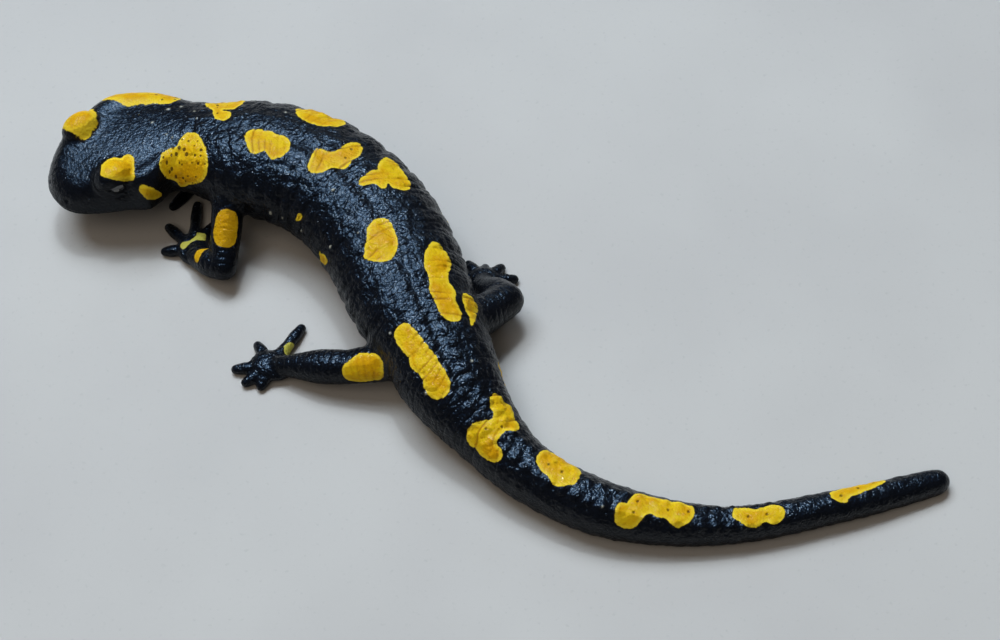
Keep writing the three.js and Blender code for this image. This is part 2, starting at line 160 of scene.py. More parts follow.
LIMBS = [
    Sizes(  # left fore
        root=(-45.3, 19, 10.4), bend=(-46.2, 7.7, 4.4),
        end=(-50.7, 10.5, 2.7), palm=(-52, 13.3, 1.5),
        radii=(3, 2.65, 2.3, 2.45, 1.8),
        digits=[(-56.9, 13.3), (-56.7, 18.3), (-52.2, 23), (-48.9, 18.9)],
    ),
    Sizes(  # right fore
        root=(-44.6, 32.6, 10), bend=(-40.9, 38, 4.6),
        end=(-47.4, 32.4, 2.4), palm=(-50.6, 29.6, 1.5),
        radii=(3, 2.7, 2.3, 2.35, 1.75),
        digits=[(-55.4, 33.6), (-58.2, 30.4), (-58.6, 26.4), (-56.4, 22.8)],
    ),
    Sizes(  # left hind
        root=(-12, -11.9, 8.2), bend=(-24.2, -12.4, 5.2),
        end=(-33.8, -10.8, 2.9), palm=(-37.2, -9.9, 1.6),
        radii=(3.9, 3.4, 2.8, 2.85, 1.95),
        digits=[(-32.9, -2.2), (-39.9, -5.6), (-43.2, -10.2), (-41.4, -12.7), (-38.9, -13.4)],
    ),
    Sizes(  # right hind
        root=(-8.2, -8.4, 8.4), bend=(1, 0, 5.9),
        end=(-2.9, 4.6, 2.9), palm=(-2.7, 6.8, 1.5),
        radii=(3.9, 3.5, 3, 2.9, 1.95),
        digits=[(-7.4, 8.2), (-5.3, 10.6), (-2.5, 9.9), (0.2, 9.9), (2.4, 7.6)],
    ),
]
PALM = Sizes(half_width=2.8, half_height=1.5)
DIGIT = Sizes(start=0.28, radii=(1.25, 1, 1.06, 0.84), root_height=1.44, height=0.85)

# How finely the skin is divided, and how it is smoothed: the numbers of rounds are for the given voxel.
VOXEL = 0.17
SMOOTHING = Sizes(voxel=0.2, rounds=8, rounds_at_joins=60, share=0.5, lid_share=0.6)

# Distances from the surfaces over which the joins are smoothed and the limb's skin takes over.
LIMB_JOIN = (0.8, 2.2)
LID_JOIN = (0.5, 1.5)
OUT_OF_BODY = (0.3, 1.2)
OFF_LIMB = (0.4, 1.6)

# ---- the yellow blotches

# On the body: outlines of the blotches, each corner as (distance from the snout, distance round from the
# middle of the back, with the left side positive).
BLOTCH_OUTLINES = [
    # left upper lid
    [(8, 5.1), (9, 4.4), (10, 4), (10.9, 3.9), (12, 4.3), (12.9, 5.3), (13.8, 5.1), (14.8, 5.5), (15.2, 6.4),
     (14.8, 7.3), (14.1, 8.1), (13.4, 8.7), (12, 8.4), (10.8, 7.5), (9.2, 6.2)],
    # right upper lid
    [(8.1, -6), (8.4, -5), (9.1, -4.2), (10, -4), (11, -4.4), (12, -5.2), (12.5, -6.2), (12.7, -7.6),
     (12.2, -9), (10.6, -9.8), (9, -9.4), (8.2, -7.8)],
    # left corner of the mouth
    [(13.3, 10.3), (14, 9.7), (15.4, 9.8), (17, 10.2), (18.4, 11), (19.3, 11.9), (18.6, 12.4), (17, 12.4),
     (15.4, 12.1), (14.2, 11.6)],
    # left gland behind the head
    [(20.8, 7.8), (21.3, 6.4), (22.2, 5.7), (23.4, 5.2), (24.6, 4.8), (25.1, 3.4), (25.8, 2), (26.8, 1.7),
     (27.9, 2.1), (28.9, 3.1), (29.8, 4.3), (30.6, 5.7), (31.2, 7.6), (31.1, 9.4), (29.8, 10.5), (27.8, 11),
     (25.9, 11.5), (24.9, 10.3), (23.4, 9.8), (21.9, 9.1)],
    # right gland
    [(14.2, -9.4), (15.1, -8.5), (16, -8), (17.2, -7.3), (18.6, -7), (20, -6.4), (21.4, -5.9), (22.6, -6.2),
     (23.1, -7.6), (22.8, -9.4), (21.4, -11.4), (18.4, -12.2), (15.6, -11.2)],
    # right side of the neck
    [(26.7, -7.2), (27.2, -5.8), (28.2, -4.9), (29, -4), (29.4, -2.8), (30.2, -1.9), (31.4, -1.7),
     (32.2, -2.4), (32.3, -3.5), (31.8, -4.4), (30.4, -4.6), (31.4, -5.1), (32.4, -5.5), (33, -7), (32.9, -9),
     (31.6, -11.2), (29, -11), (27, -9.2)],
    # back
    [(35.7, 1), (36.4, -0.3), (37.2, -0.7), (38, -0.8), (38.7, -0.4), (39.8, -0.8), (40.8, -0.3),
     (41.8, -0.6), (42.9, -0.2), (43.8, 0.8), (44.2, 2.4), (43.9, 3.8), (43.1, 4.8), (42, 5.3), (40.9, 4.8),
     (40, 4.1), (39.1, 4.8), (38, 5.1), (37, 4.2), (36.2, 2.6)],
    [(41.3, -8.8), (41.7, -7.4), (42.4, -6.3), (43.4, -5.7), (44.6, -5.4), (45.8, -5.6), (47, -6.2),
     (47.9, -7.1), (48.4, -8.6), (47.8, -11), (45.4, -12.6), (42.6, -11.4)],
    [(47.9, 0), (48.4, -0.8), (49.4, -1), (50.4, -1.7), (50.8, -3), (51, -4.6), (51.5, -6.4), (52.3, -6.7),
     (53.3, -6), (53.8, -4.6), (53.9, -2.6), (54.2, -1), (53.6, 0.4), (52.5, 1.3), (52, 2.8), (51.2, 4.1),
     (50, 4.7), (49, 4.3), (48.4, 2.8)],
    [(56.1, -8.4), (56.3, -7), (56.8, -5.8), (57.5, -5), (57.1, -3.8), (57.3, -2.2), (57.5, -0.7), (58, 0),
     (58.7, -0.5), (59.3, -1.8), (59.9, -2.7), (60.8, -3), (61.1, -3.8), (60.5, -4.8), (61.6, -5.1),
     (62.4, -6.2), (62.5, -7.4), (62, -8.4), (60.9, -8.8), (59.8, -8.9), (58.6, -9.2), (57.6, -9.6),
     (56.6, -9.2)],
    [(65.5, 0.7), (66.1, -0.5), (67.2, -0.9), (68.6, -0.8), (70, -0.7), (71.3, -0.2), (72.5, 0.7),
     (73.5, 1.8), (73.9, 3), (73.4, 4.4), (72.5, 5.8), (71.2, 6.6), (69.8, 5.9), (68, 4.7), (66.4, 3.7),
     (65.6, 2.2)],
    [(72.5, -6.4), (72.9, -7.5), (74, -8.1), (75.4, -8.2), (76.8, -8.3), (78, -7.7), (79.2, -6.8),
     (80.4, -6.1), (81.6, -6.4), (82.8, -6.3), (83.9, -5.6), (85.2, -5.6), (86.6, -5.6), (87.5, -4.6),
     (87.4, -3.2), (86.2, -2), (84.8, -1.9), (83, -2), (81.2, -2.1), (79.8, -2.8), (78.4, -3.2), (76.8, -3.3),
     (75.2, -4), (73.6, -4.9)],
    # before the right thigh
    [(82.9, -7.9), (83.3, -8.9), (84.2, -9.8), (85.4, -9.8), (86.4, -8.7), (87.6, -7.6), (88.6, -6.3),
     (87.2, -6.6), (85.6, -6.6), (83.9, -7)],
    # left hip
    [(84.6, 5.6), (85, 4.5), (86, 3.8), (87.4, 3.4), (88.8, 3), (90.2, 2.6), (91.6, 2.1), (93.2, 2),
     (94.8, 2), (96.2, 2.3), (97.1, 3.4), (97.1, 5), (96.2, 6.1), (94.6, 6.2), (93, 5.9), (91.4, 6.6),
     (89.6, 6.5), (88, 7.1), (86.4, 7.3), (85, 6.7)],
    # root of the tail
    [(100.9, -3.2), (101.5, -4), (102.8, -4.2), (103.9, -5), (105, -4.5), (105.9, -3.7), (107, -3.7),
     (108, -3), (108.1, -1.8), (107.2, -0.8), (107.3, 0.7), (107.8, 1.8), (109.1, 2), (109.8, 3),
     (109.4, 4.3), (107.8, 4.9), (106.2, 5.1), (104.8, 5.3), (103.6, 4.7), (103.1, 3.2), (103.6, 1.4),
     (104.1, 0), (103.7, -1), (102.4, -1.3), (101.3, -2)],
    # tail
    [(113.8, -2), (114.1, -3.2), (115.2, -4.2), (117.4, -4.7), (119.8, -4.3), (121.1, -3.2), (121.5, -1.8),
     (121.5, -0.3), (120.6, 0.6), (119.8, 1.4), (118.6, 1.6), (117.4, 1), (116, 0.7), (114.6, 0),
     (113.8, -0.9)],
    [(128.3, 1.2), (128.9, 0.3), (129.8, -0.1), (130.2, -1.2), (130.8, -2.3), (132, -2.6), (133.4, -2.4),
     (135.2, -2.2), (137, -2.2), (138.8, -2.1), (140, -1.4), (140.3, -0.2), (139.8, 0.9), (138.9, 1.8),
     (137.7, 2.3), (136.6, 1.7), (135.8, 1.2), (134.6, 1.3), (133.6, 0.9), (132.8, 1.3), (132.2, 2.6),
     (131.4, 3.7), (130.2, 4.1), (129.1, 3.8), (128.5, 2.8)],
    [(146.4, 0.2), (146.7, -1), (147.6, -1.5), (149, -1.3), (150.6, -0.9), (152, -1.2), (153.4, -1.2),
     (154.4, -0.6), (154.6, 0.4), (153.9, 1.5), (152.6, 1.9), (151.2, 1.4), (150, 1.9), (148.7, 1.9),
     (147.6, 1.1)],
    [(162.4, -0.5), (162.8, -1.8), (164.2, -2.4), (166.6, -2.7), (169.4, -3.1), (171.6, -2.8), (172, -1.5),
     (170.8, -0.9), (168.6, -0.5), (166.6, -0.1), (165.2, 0.2), (164.4, 0.8), (163.2, 0.4)],
]
# Smaller ones, and those on the sides turned away: chains of rounds, each (distance from the snout, distance
# round from the middle of the back, radius).
BLOTCH_ROUNDS = [
    [(53.3, 11.6, 0.8)],  # left flank
    [(62.8, 14, 0.8), (65, 13.2, 0.8)],
    [(37.6, -14.4, 1.4), (39.4, -15.6, 1.7)],  # right flank
    [(54, -15.2, 1.6), (56.8, -14.2, 1.3)],
    [(66.2, -14, 1.2), (68.4, -15.6, 1.8)],
    [(79, -15, 1.3)],
    [(96.6, -10.2, 1.5), (99.4, -9.4, 1.1)],
    [(110.6, -9.2, 1.1), (113, -8.6, 1.4)],
    [(126, -8.4, 1), (128.4, -7.6, 1.2)],
    [(33.4, 22, 1.3), (35.6, 23, 1)],  # belly
    [(58, 24, 1.1)],
    [(70.6, -23, 1.4), (73, -24, 1)],
]
# Whitish grains, as (distance from the snout, distance round from the middle of the back, radius).
GRAINS = [
    (22.1, -4.6, 0.26), (23.7, -5.2, 0.2), (19.9, -1.5, 0.2), (22.3, 2.4, 0.17), (23.5, 3.1, 0.15),
    (25.9, -4, 0.17), (26.8, -1.9, 0.15), (40.5, -6.4, 0.2), (44.6, 13.7, 0.34), (48.5, 13.6, 0.22),
    (56, 4.6, 0.26), (55.5, 13.2, 0.22), (64.8, 10.6, 0.24), (66.3, 5.6, 0.15), (84.9, 7.5, 0.18),
    (94.4, -3.4, 0.2), (95.3, 6.4, 0.2), (126.4, 1.8, 0.15),
]
# Single large gland openings on the back and tail.
OPENINGS = [
    (52.7, -2.2), (52.2, -4.5), (105, 1.7), (106.2, -0.7), (116.2, -0.9), (118.7, -0.9), (131.3, -0.7),
    (131, 1.3), (136.2, -0.3), (139.4, -0.5), (148.8, 0.2), (151.8, 0.2), (164, -0.5), (167.2, -1.4),
    (170, -1.9),
]

# On the limbs: chains of balls that touch the skin, as (x, y, z, radius).
LIMB_BLOTCHES = [
    [(-45.4, 12.7, 10.3, 2.2), (-45.5, 10.95, 9.25, 2.25)],  # left upper arm
    [(-49.1, 11.6, 5.3, 0.75), (-50.3, 10.9, 5.3, 0.95), (-50.75, 9.8, 5.1, 0.95), (-50.8, 9.1, 4.9, 0.6)],
    [(-23.4, -14.5, 7.1, 1.9), (-22, -13.9, 8.3, 1.9), (-20.3, -14.3, 8.6, 2)],  # left thigh
    [(-22.4, -15, 6.9, 1.7), (-20.2, -15.4, 7.6, 1.8)],
    [(-41.6, 36.9, 7, 1.8), (-42, 35.4, 7.6, 1.5)],  # right upper arm
]
PALE_BLOTCHES = [
    [  # left hand
        (-53.5, 13.3, 2.8, 0.72), (-52.5, 13.9, 2.9, 0.26), (-51.7, 14.5, 2.8, 0.28), (-50.8, 15.3, 2.6, 1),
    ],
    [(-34.3, -7, 1.8, 1.3)],  # first toe of the left foot
    [(-54.6, 30.6, 2.4, 0.7), (-53.2, 30.2, 2.7, 0.8)],  # right hand
]

# The blotches' uneven edges, and where the skin is pored, warmer yellow darkened with painted shade, or wet.
LOBES = Sizes(height=0.35, size=1.7, on_limbs=0.4)
FRAYED = 0.1  # how far the edges waver
CREASED = 0.15  # and how far a crease draws them in
LIMB_BLOTCHES_TO = (0.7, 0.8)  # distance from a limb over which its blotches end
ELSEWHERE = 40.0  # added to the distance to a blotch where it doesn't belong
PORED_AREA = Sizes(at=25.5, half_length=5.5, side=7.0, half_width=5.2)
# the arms' darker, warmer gold: partly their own tone, partly painted shade
ARMS_WARM_AND_SHADED = Sizes(start=-36, end=-40, share=0.75)
WET = Sizes(least=0.12, slope=(-0.15, 0.5))  # share of the film on skin that faces down, and its rise

OUTLINE_REACH = 3.0  # distances to outlines are worked out up to here
FAR = 50.0  # and all others matter up to here

# ---- random numbers and noise


def hashed(cell, seed):
    """A repeatable random number from 0 to 1 for each whole-number cell."""
    h = (cell[..., 0] * 73856093) ^ (cell[..., 1] * 19349663) ^ (cell[..., 2] * 83492791) ^ (seed * 374761393)
    h = h & 0xFFFFFFFF
    h = ((h ^ (h >> 13)) * 1274126177) & 0xFFFFFFFF
    h = ((h ^ (h >> 16)) * 1103515245) & 0xFFFFFFFF
    return (h ^ (h >> 15)) / 4294967296.0


def noise(points, size, seed):
    """Smooth noise from -1 to 1, with features of the given size."""
    q = points / size
    cell = np.floor(q).astype(np.int64)
    f = q - cell
    f = f * f * (3 - 2 * f)
    total = np.zeros(len(points))
    for corner in np.ndindex(2, 2, 2):
        weight = np.prod(np.where(corner, f, 1 - f), axis=1)
        total += weight * hashed(cell + np.array(corner), seed)
    return total * 2 - 1


def from_scattered(points, size, seed):
    """Distance to the nearest of randomly scattered centres, as a share of the size."""
    q = points / size
    base = np.floor(q).astype(np.int64)
    nearest = np.full(len(points), FAR)
    for step in np.ndindex(3, 3, 3):
        cell = base + np.array(step) - 1
        centre = cell + np.stack([hashed(cell, seed + k) for k in range(3)], 1)
        nearest = np.minimum(nearest, norm(q - centre, axis=1))
    return nearest


# ---- curves and sections


def cubic(a, b, m, n, t):
    """The cubic from a to b with slopes m and n at its ends, at shares t of the way."""
    return a + m * t + (3 * (b - a) - 2 * m - n) * t ** 2 + (2 * (a - b) + m + n) * t ** 3


def rounded_curve(points, per=60):
    """The centripetal Catmull-Rom curve through the points."""
    p = np.array(points, float)
    p = np.vstack([2 * p[0] - p[1], p, 2 * p[-1] - p[-2]])
    out = []
    for i in range(1, len(p) - 2):
        a, b, c, d = p[i - 1:i + 3]
        before, here, after = (norm(v) ** 0.5 for v in (b - a, c - b, d - c))
        m1 = ((b - a) / before - (c - a) / (before + here) + (c - b) / here) * here
        m2 = ((c - b) / here - (d - b) / (here + after) + (d - c) / after) * here
        t = np.linspace(0, 1, per, endpoint=False)[:, None]
        out.append(cubic(b, c, m1, m2, t))
    out.append(p[-2][None])
    return np.vstack(out)


SPINE_LINE = rounded_curve(SPINE)
SPINE_STEPS = np.r_[0, np.cumsum(norm(np.diff(SPINE_LINE, axis=0), axis=1))]
LENGTH = SPINE_STEPS[-1]


def spine_at(s):
    s = np.clip(s, 0, LENGTH)
    return np.stack([np.interp(s, SPINE_STEPS, SPINE_LINE[:, k]) for k in range(3)], -1)


def frames_at(s):
    """Origin and left, up and back directions of the sections at distances from the snout."""
    s = np.asarray(s, float)
    back = spine_at(s + 0.05) - spine_at(s - 0.05)
    back /= norm(back, axis=-1, keepdims=True)
    left = np.cross(back, (0, 0, 1.0))
    left /= norm(left, axis=-1, keepdims=True)
    return spine_at(s), left, np.cross(left, back), back


def along(table, s):
    """Smooth values through a table of [distance, values...] rows."""
    x, y = table[:, 0], table[:, 1:]
    s = np.clip(s, x[0], x[-1])
    i = np.clip(np.searchsorted(x, s, side="right") - 1, 0, len(x) - 2)
    rows = np.arange(len(x))
    before, after = np.maximum(rows - 1, 0), np.minimum(rows + 1, len(x) - 1)
    slope = (y[after] - y[before]) / (x[after] - x[before])[:, None]
    h = (x[i + 1] - x[i])[..., None]
    t = (np.asarray(s)[..., None] - x[i][..., None]) / h
    return cubic(y[i], y[i + 1], h * slope[i], h * slope[i + 1], t)


def smooth(a, b, x):
    t = np.clip((np.asarray(x, float) - a) / (b - a), 0, 1)
    return t * t * (3 - 2 * t)


def within(x, rise, fall):
    """1 between two ranges, rising from 0 over the first and falling back to 0 over the second."""
    return smooth(*rise, x) * (1 - smooth(*fall, x))


def bell(x, half_width):
    return np.exp(-(x / half_width) ** 2)


def plateau(x, half_width):
    return np.exp(-(x / half_width) ** 4)


def power(x, e):
    return np.sign(x) * np.abs(x) ** e


def round_off(distance, length):
    t = np.clip(np.maximum(distance, 0) / length, 0, 1)
    return np.sqrt(1 - (1 - t) ** 2)


def section_at(s):
    """Half width, height and depth of sections, their outline's exponent and how much they narrow upwards."""
    tail = round_off(LENGTH - s, TAIL_ROUND)
    width, top, bottom = np.moveaxis(along(PROFILE, s), -1, 0)
    head_share = 1 - smooth(HEAD_END - 8, HEAD_END + 4, s)
    wide = round_off(s, SNOUT_ROUND_WIDE) * tail
    high = round_off(s, SNOUT_ROUND_HIGH) * tail
    square = BODY_SQUARE + (HEAD_SQUARE - BODY_SQUARE) * head_share
    return width * wide, top * high, bottom * high, square, HEAD_TAPER * head_share


def broad_relief(s, angle, width):
    turn = np.abs(angle)
    groove = within(s, SPINE_GROOVE.start, SPINE_GROOVE.end)
    out = -SPINE_GROOVE.depth * bell(turn * width, SPINE_GROOVE.half_width) * groove
    for lump, edge in ((PAROTOID, plateau), (JAW_MUSCLE, bell), (BROW, bell), (VENT, bell)):
        at, lump_angle, half_length, half_width, height = lump
        out += height * edge(s - at, half_length) * edge((turn - lump_angle) * width, half_width)
    return out


def body_points(s, angle):
    origin, left, up, _ = frames_at(s)
    width, top, bottom, square, taper = section_at(s)
    c = power(np.cos(angle), 2 / square)
    x = width * power(np.sin(angle), 2 / square) * (1 - taper * np.maximum(c, 0))
    z = np.where(c > 0, top, bottom) * c
    out_x, out_z = x / (width ** 2 + 0.01), z / (top * bottom + 0.01)
    size = np.maximum(np.hypot(out_x, out_z), 1e-9)
    out = broad_relief(s, angle, width) * np.minimum(1, width / FULL_RELIEF)
    return origin + left * (x + out_x / size * out)[..., None] + up * (z + out_z / size * out)[..., None]


# ---- closed rough shapes


def lofted(rings):
    """Points and faces of a loft through rings of points, none under the floor, its ends closed with fans."""
    rings[..., 2] = np.maximum(rings[..., 2], 0)
    count, sides = rings.shape[:2]
    points = np.vstack([rings.reshape(-1, 3), rings[0].mean(0), rings[-1].mean(0)])
    ring, side = np.meshgrid(np.arange(count - 1), np.arange(sides), indexing="ij")
    a = ring * sides + side
    b = ring * sides + (side + 1) % sides
    walls = np.stack([a, b, b + sides, a + sides], -1).reshape(-1, 4)
    first, last = count * sides, count * sides + 1
    rim = np.arange(sides)
    turn = (rim + 1) % sides
    start = np.stack([np.full(sides, first), turn, rim], 1)
    end = np.stack([np.full(sides, last), rim + (count - 1) * sides, turn + (count - 1) * sides], 1)
    return points, walls.tolist() + start.tolist() + end.tolist()


def crowded(length, count):
    """Distances that crowd towards zero, for a rounded end of that length."""
    return length * (1 - np.cos((np.arange(count) + 0.2) / count * math.pi / 2))


def body_shape():
    snout, tail, spacing, sides = 4.0, 3.0, 0.45, 120
    middle = np.arange(snout, LENGTH - tail, spacing)
    s = np.r_[crowded(snout, 16), middle, LENGTH - crowded(tail, 14)[::-1]]
    angle = np.linspace(0, TAU, sides, endpoint=False)
    angle = np.where(angle > math.pi, angle - TAU, angle)
    grid_s, grid_angle = np.meshgrid(s, angle, indexing="ij")
    return lofted(body_points(grid_s, grid_angle))


def unit(v):
    return v / norm(v)


def rounded_shape(a, b, radii, sides=28, rows=24):
    """Round sections from a to b, through even radii, with both ends rounded over their radius."""
    a, b = np.array(a, float), np.array(b, float)
    length = norm(b - a)
    forth = unit(b - a)
    left = unit(np.cross(forth, (0, 0, 1.0)))
    up = np.cross(left, forth)
    table = np.array([(length * i / (len(radii) - 1), r) for i, r in enumerate(radii)])
    t = (1 - np.cos(math.pi * (np.arange(rows + 1) + 0.3) / (rows + 0.6))) / 2
    d = -radii[0] + t * (length + radii[0] + radii[-1])
    ends = round_off(d + radii[0], radii[0]) * round_off(length + radii[-1] - d, radii[-1])
    r = along(table, d)[:, 0] * ends
    angle = np.linspace(0, TAU, sides, endpoint=False)
    around = np.sin(angle)[:, None] * left + np.cos(angle)[:, None] * up
    return lofted((a + d[:, None] * forth)[:, None] + r[:, None, None] * around[None])


def egg_shape(centre, radii, yaw, sides=36, rows=22):
    angle = np.linspace(0, TAU, sides, endpoint=False)
    polar = (np.arange(rows) + 0.5) / rows * math.pi
    x = radii[0] * np.cos(polar)[:, None] * np.ones(sides)
    y = radii[1] * np.sin(polar)[:, None] * np.cos(angle)
    z = radii[2] * np.sin(polar)[:, None] * np.sin(angle)
    cos_yaw, sin_yaw = math.cos(yaw), math.sin(yaw)
    return lofted(np.stack([x * cos_yaw - y * sin_yaw, x * sin_yaw + y * cos_yaw, z], -1) + np.array(centre))


def eye_centre(side):
    origin, left, up, _ = frames_at(EYE.at)
    return origin + left * side * EYE.side + up * EYE.above


def lid_centre(side):
    _, left, _, _ = frames_at(EYE.at)
    return eye_centre(side) - left * side * LID.inward


def lid_shape(side):
    _, _, _, back = frames_at(EYE.at)
    yaw = math.atan2(back[1], back[0]) - side * EYE.yaw
    return egg_shape(lid_centre(side), (LID_RADIUS * LID.stretch, LID_RADIUS, LID_RADIUS), yaw)


def limb_segments(limb):
    """The limb's rounded segments, each (from, to, radii)."""
    root, bend, end, palm = np.array((limb.root, limb.bend, limb.end, limb.palm))
    r0, r1, r2, r3, r4 = limb.radii
    segments = [
        (root, bend, (r0, r1, r2)),
        (bend, end, (r2, r3, r4)),
        (end, palm, (r4, PALM.half_height)),
    ]
    for x, y in limb.digits:
        tip = np.array((x, y, DIGIT.height))
        start = palm + (tip - palm) * DIGIT.start
        start[2] = DIGIT.root_height
        segments.append((start, tip, DIGIT.radii))
    return segments


def limb_shapes(limb):
    shapes = [rounded_shape(a, b, radii) for a, b, radii in limb_segments(limb)]
    end, palm = np.array(limb.end), np.array(limb.palm)
    heading = palm - end
    radii = (max(norm(heading), PALM.half_width), PALM.half_width, PALM.half_height)
    shapes.append(egg_shape(palm, radii, math.atan2(heading[1], heading[0])))
    return shapes


# ---- one skin


def added(name, data):
    """A new object in the scene."""
    obj = bpy.data.objects.new(name, data)
    bpy.context.scene.collection.objects.link(obj)
    return obj


SHIFT = np.array((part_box("eye_left")[0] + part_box("eye_left")[1]) / 2) / MM - eye_centre(1)


def merged(shapes):
    """One mesh over all the rough shapes, in the pose's frame and in millimetres."""
    points, faces, start = [], [], 0
    for shape_points, shape_faces in shapes:
        points.append(shape_points)
        faces += [[i + start for i in face] for face in shape_faces]
        start += len(shape_points)
    rough = bpy.data.meshes.new("rough")
    rough.from_pydata(np.vstack(points).tolist(), [], faces)
    holder = added("rough", rough)
    remesh = holder.modifiers.new("remesh", "REMESH")
    remesh.mode = "VOXEL"
    remesh.voxel_size = VOXEL
    depsgraph = bpy.context.evaluated_depsgraph_get()
    mesh = bpy.data.meshes.new_from_object(holder.evaluated_get(depsgraph))
    bpy.data.objects.remove(holder)
    bpy.data.meshes.remove(rough)
    mesh.name = "salamander_skin"
    return mesh


def read(collection, key, width, kind):
    values = np.empty(len(collection) * width, kind)
    collection.foreach_get(key, values)
    return values.reshape(-1, width)


def evened(points, edges, times, share):
    """The points drawn towards the middle of their neighbours, by the share at each."""
    n = len(points)
    a, b = edges.T
    count = np.bincount(edges.ravel(), minlength=n)
    for _ in range(times):
        middle = np.stack([
            (np.bincount(a, points[b, k], n) + np.bincount(b, points[a, k], n)) / count for k in range(3)
        ], 1)
        points = points + np.reshape(share, (-1, 1)) * (middle - points)
    return points


def normals_of(points, quads):
    across = np.cross(points[quads[:, 2]] - points[quads[:, 0]], points[quads[:, 3]] - points[quads[:, 1]])
    total = np.zeros_like(points)
    for k in range(3):
        for corner in range(4):
            total[:, k] += np.bincount(quads[:, corner], across[:, k], len(points))
    return total / np.maximum(norm(total, axis=1, keepdims=True), 1e-12)


def located(points):
    """Distance from the snout of points near the body, and their offsets left and up in its section."""
    grid = np.arange(0, LENGTH, 0.5)
    chunk = 20000
    line = spine_at(grid)
    s = np.empty(len(points))
    for k in range(0, len(points), chunk):
        q = points[k:k + chunk]
        d = (q ** 2).sum(1)[:, None] - 2 * q @ line.T + (line ** 2).sum(1)[None]
        s[k:k + chunk] = grid[d.argmin(1)]
    for _ in range(3):
        origin, _, _, back = frames_at(s)
        s = np.clip(s + 0.7 * ((points - origin) * back).sum(-1), 0, LENGTH)
    origin, left, up, _ = frames_at(s)
    offset = points - origin
    return s, (offset * left).sum(-1), (offset * up).sum(-1)


def beyond_body(s, x, z):
    """About how far points lie outside the body's section."""
    width, top, bottom, square, taper = section_at(s)
    high = np.where(z > 0, top, bottom) + 1e-3
    wide = width * (1 - taper * np.clip(z / high, 0, 1)) + 1e-3
    gauge = (np.abs(x / wide) ** square + np.abs(z / high) ** square) ** (1 / square)
    return (gauge - 1) * np.minimum(wide, high)


def to_line(points, a, b):
    """How far along the line from a to b points lie, as a share of it, and their distance from the line."""
    line = b - a
    share = np.clip(((points - a) @ line) / max(line @ line, 1e-9), 0, 1)
    return share, norm(points - a - share[:, None] * line, axis=1)


def to_chain(points, chain):
    """Distance of points to a chain of rounds (centre..., radius), less its radius; negative inside."""
    nearest = np.full(len(points), FAR)
    chain = np.array(chain, float)
    for a, b in list(zip(chain[:-1], chain[1:])) or [(chain[0], chain[0])]:
        share, distance = to_line(points, a[:-1], b[:-1])
        nearest = np.minimum(nearest, distance - (a[-1] + share * (b[-1] - a[-1])))
    return nearest


def joined(a, b, reach):
    """The smaller of two distances, rounded where they are about equal."""
    h = np.clip(0.5 + 0.5 * (b - a) / reach, 0, 1)
    return b + (a - b) * h - reach * h * (1 - h)


def closed_curve(corners, per=6):
    """Points along the smooth closed curve through the corners."""
    p = np.array(corners, float)
    a, b, c, d = (np.roll(p, 1 - k, axis=0) for k in range(4))
    t = np.linspace(0, 1, per, endpoint=False)[:, None, None]
    return cubic(b, c, (c - a) / 2, (d - b) / 2, t).transpose(1, 0, 2).reshape(-1, 2)


def to_outline(points, corners, reach=OUTLINE_REACH):
    """Distance of flat points to a closed smooth outline, negative inside it and never above the reach."""
    curve = closed_curve(corners)
    close = np.nonzero(((points > curve.min(0) - reach) & (points < curve.max(0) + reach)).all(1))[0]
    q = points[close]
    nearest = np.full(len(q), reach)
    inside = np.zeros(len(q), bool)
    for a, b in zip(curve, np.roll(curve, -1, axis=0)):
        nearest = np.minimum(nearest, to_line(q, a, b)[1])
        line = b - a
        crossed = (a[1] > q[:, 1]) != (b[1] > q[:, 1])
        rise = line[1] if line[1] != 0 else 1e-9
        inside ^= crossed & (q[:, 0] < a[0] + (q[:, 1] - a[1]) * line[0] / rise)
    total = np.full(len(points), reach)
    total[close] = np.where(inside, -nearest, nearest)
    return total


def to_nearest(points, places):
    """Distance of flat points to the nearest of the places, less its radius where it has one."""
    nearest = np.full(len(points), FAR)
    for place in places:
        radius = place[2] if len(place) > 2 else 0.0
        nearest = np.minimum(nearest, norm(points - np.array(place[:2]), axis=1) - radius)
    return nearest


def blotch_distance(points, chains, reach):
    total = np.full(len(points), FAR)
    for chain in chains:
        total = joined(total, to_chain(points, chain), reach)
    return total


def limb_places(points):
    """For each point, the distance outside the nearest limb's skin and the distance along that limb."""
    best = np.full(len(points), FAR)
    place = np.zeros(len(points))
    for limb in LIMBS:
        start = 0.0
        for a, b, radii in limb_segments(limb):
            length = norm(b - a)
            share, distance = to_line(points, a, b)
            distance -= np.interp(share, np.linspace(0, 1, len(radii)), radii)
            nearer = distance < best
            best = np.where(nearer, distance, best)
            place = np.where(nearer, start + share * length, place)
            if radii != DIGIT.radii:  # the digits all begin at the palm
                start += length
    return best, place


def near(distance, reach):
    """1 at a surface, falling to 0 where the reach ends."""
    return 1 - smooth(*reach, np.abs(distance))


def nearest_line(distance, spacing):
    """The number of the nearest of evenly spaced lines, and the distance to it."""
    number = np.round(distance / spacing)
    return number, np.abs(distance - number * spacing)


# ---- rough form

mesh = merged([body_shape(), lid_shape(1), lid_shape(-1)] + [s for limb in LIMBS for s in limb_shapes(limb)])
points = read(mesh.vertices, "co", 3, np.float32).astype(float)
edges = read(mesh.edges, "vertices", 2, np.int32)
quads = read(mesh.loops, "vertex_index", 1, np.int32).reshape(-1, 4)

